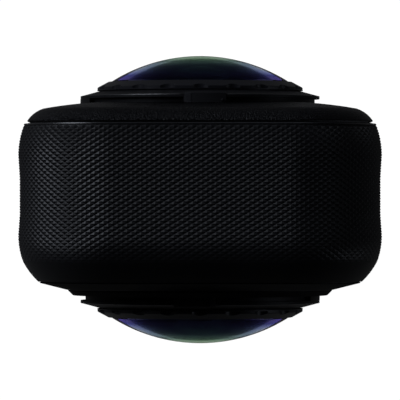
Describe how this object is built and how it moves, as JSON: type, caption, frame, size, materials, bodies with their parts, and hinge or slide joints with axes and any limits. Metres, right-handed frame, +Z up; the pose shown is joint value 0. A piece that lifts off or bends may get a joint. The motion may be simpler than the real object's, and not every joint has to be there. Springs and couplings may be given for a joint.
{
  "type": "360 degree camera",
  "caption": "Slim upright camera with a domed fisheye lens front and back, knurled grip band, touch screen, press keys, hinged port door and slide-out battery.",
  "frame": {"origin": "centre of the base, on the surface that the camera stands on", "axes": "+Z up towards the lens end, -Y out of the front cover with the screen, +Y out of the back, +X towards the side with the battery and the two side keys"},
  "size_m": [0.046, 0.037, 0.124],
  "materials": {
    "frame": "fine matte moulding",
    "grip": "knurled in small four-sided points",
    "shell": "fine leather-like grain",
    "cover": "satin",
    "screen": "polished black glass",
    "lens_base": "satin",
    "lens_ring": "black anodised",
    "lens_glass": "coated, green to violet",
    "lens_inner": "coated",
    "barrel": "flocked black",
    "seal": "soft",
    "key": "satin",
    "accent_key": "satin, a shade lighter",
    "latch": "satin orange",
    "steel": "plain",
    "base_metal": "black anodised",
    "copper": "gold-plated",
    "heat": "plain",
    "board": "solder-masked",
    "chip": "polished",
    "battery": "plain",
    "card": "plain",
    "light": "frosted"
  },
  "bodies": {
    "casing": {"mid_frame": "frame", "grip_band": "grip", "rear_shell": "shell", "front_cover": "cover", "front_casing_gasket": "seal", "rear_casing_gasket": "seal", "lens_heat_plate": "heat", "image_sensors": "chip", "sensor_boards": "board", "screen_glass": "screen", "screen_gasket": "seal", "display_panel": "chip", "front_key_board": "board", "key_switches": "steel", "key_pads": "seal", "side_key_board": "board", "battery_bay": "frame", "battery_contacts": "copper", "card_socket": "steel", "usb_socket": "steel", "usb_board": "board", "usb_door_pin": "steel", "main_board": "board", "shield_can": "steel", "heat_spreader": "heat", "speaker": "frame", "microphones": "steel", "status_lights": "light", "antenna": "copper", "tripod_bush": "steel", "base_plate": "base_metal", "base_screws": "steel", "cover_screws": "steel", "board_screws": "steel", "front_lens_base": "lens_base", "front_lens_barrel": "barrel", "front_inner_elements": "lens_inner", "rear_lens_base": "lens_base", "rear_lens_barrel": "barrel", "rear_inner_elements": "lens_inner"},
    "shutter_button": {"shutter_button": "accent_key"},
    "lens_button": {"lens_button": "key"},
    "quick_button": {"quick_button": "key"},
    "power_button": {"power_button": "accent_key"},
    "battery": {"battery_pack": "battery", "battery_cover": "frame", "battery_grip": "grip", "battery_seal": "seal"},
    "battery_latch": {"battery_latch": "latch"},
    "memory_card": {"memory_card": "card"},
    "usb_door": {"usb_door": "frame", "usb_door_seal": "seal"},
    "front_lens_unit": {"front_lens_ring": "lens_ring", "front_lens_dome": "lens_glass", "front_dome_gasket": "seal", "front_lens_seal": "seal"},
    "rear_lens_unit": {"rear_lens_ring": "lens_ring", "rear_lens_dome": "lens_glass", "rear_dome_gasket": "seal", "rear_lens_seal": "seal"}
  },
  "joints": [
    {"name": "shutter_button_press", "type": "slide", "parent": "casing", "child": "shutter_button", "axis": [0, 1, 0], "range_m": [0, 0.0004], "stiffness_N_per_m": 1500, "springref_m": -0.0002},
    {"name": "lens_button_press", "type": "slide", "parent": "casing", "child": "lens_button", "axis": [0, 1, 0], "range_m": [0, 0.0004], "stiffness_N_per_m": 1500, "springref_m": -0.0002},
    {"name": "quick_button_press", "type": "slide", "parent": "casing", "child": "quick_button", "axis": [-1, 0, 0], "range_m": [0, 0.0004], "stiffness_N_per_m": 1500, "springref_m": -0.0002},
    {"name": "power_button_press", "type": "slide", "parent": "casing", "child": "power_button", "axis": [-1, 0, 0], "range_m": [0, 0.0004], "stiffness_N_per_m": 1500, "springref_m": -0.0002},
    {"name": "battery_slide", "type": "slide", "parent": "casing", "child": "battery", "axis": [1, 0, 0], "range_m": [0, 0.034]},
    {"name": "battery_latch_slide", "type": "slide", "parent": "battery", "child": "battery_latch", "axis": [0, 0, 1], "range_m": [0, 0.0022]},
    {"name": "memory_card_push", "type": "slide", "parent": "casing", "child": "memory_card", "axis": [-1, 0, 0], "range_m": [0, 0.0008], "stiffness_N_per_m": 600, "springref_m": -0.0002},
    {"name": "usb_door_hinge", "type": "hinge", "parent": "casing", "child": "usb_door", "pos_m": [-0.0221, 0.0044, 0.076], "axis": [0, 0, -1], "range_deg": [0, 95]},
    {"name": "front_lens_twist", "type": "hinge", "parent": "casing", "child": "front_lens_unit", "pos_m": [0, 0, 0.1005], "axis": [0, -1, 0], "range_deg": [0, 30]},
    {"name": "rear_lens_twist", "type": "hinge", "parent": "casing", "child": "rear_lens_unit", "pos_m": [0, 0, 0.1005], "axis": [0, 1, 0], "range_deg": [0, 30]}
  ]
}
